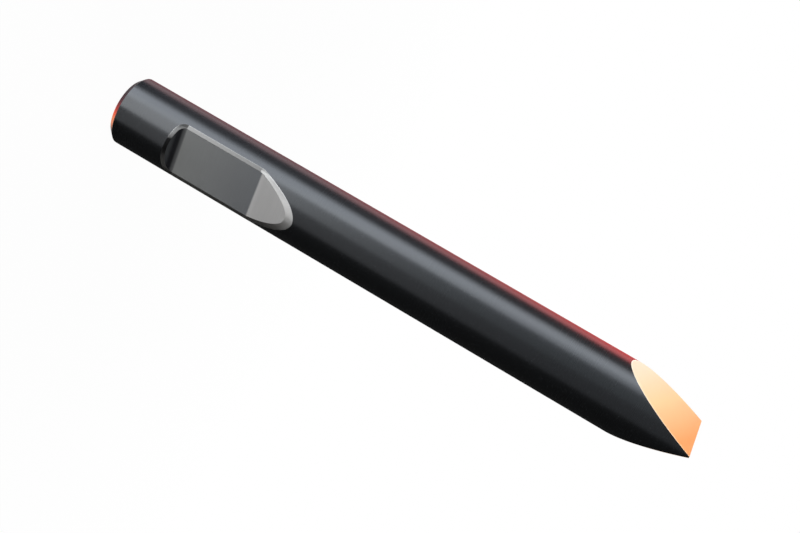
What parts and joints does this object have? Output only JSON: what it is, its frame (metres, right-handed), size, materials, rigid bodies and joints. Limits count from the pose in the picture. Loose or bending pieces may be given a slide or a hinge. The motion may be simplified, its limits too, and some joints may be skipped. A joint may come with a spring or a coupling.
{
  "type": "hydraulic breaker chisel",
  "caption": "Round steel bar tool for a hydraulic breaker, with a chamfered striking end, a milled retaining notch and a two-sided wedge point.",
  "frame": {"origin": "centre of the flat striking face, on which the bar stands", "axes": "+Z along the bar towards the blade, -Y out of the retaining notch, blade edge along Y, wedge flats facing +X and -X"},
  "size_m": [0.135, 0.135, 1.185],
  "materials": {
    "lacquered_steel": "satin black lacquer on the bar, bare ground steel in the notch and on the wedge flats"
  },
  "bodies": {
    "root": {"breaker_chisel": "lacquered_steel"}
  },
  "joints": []
}
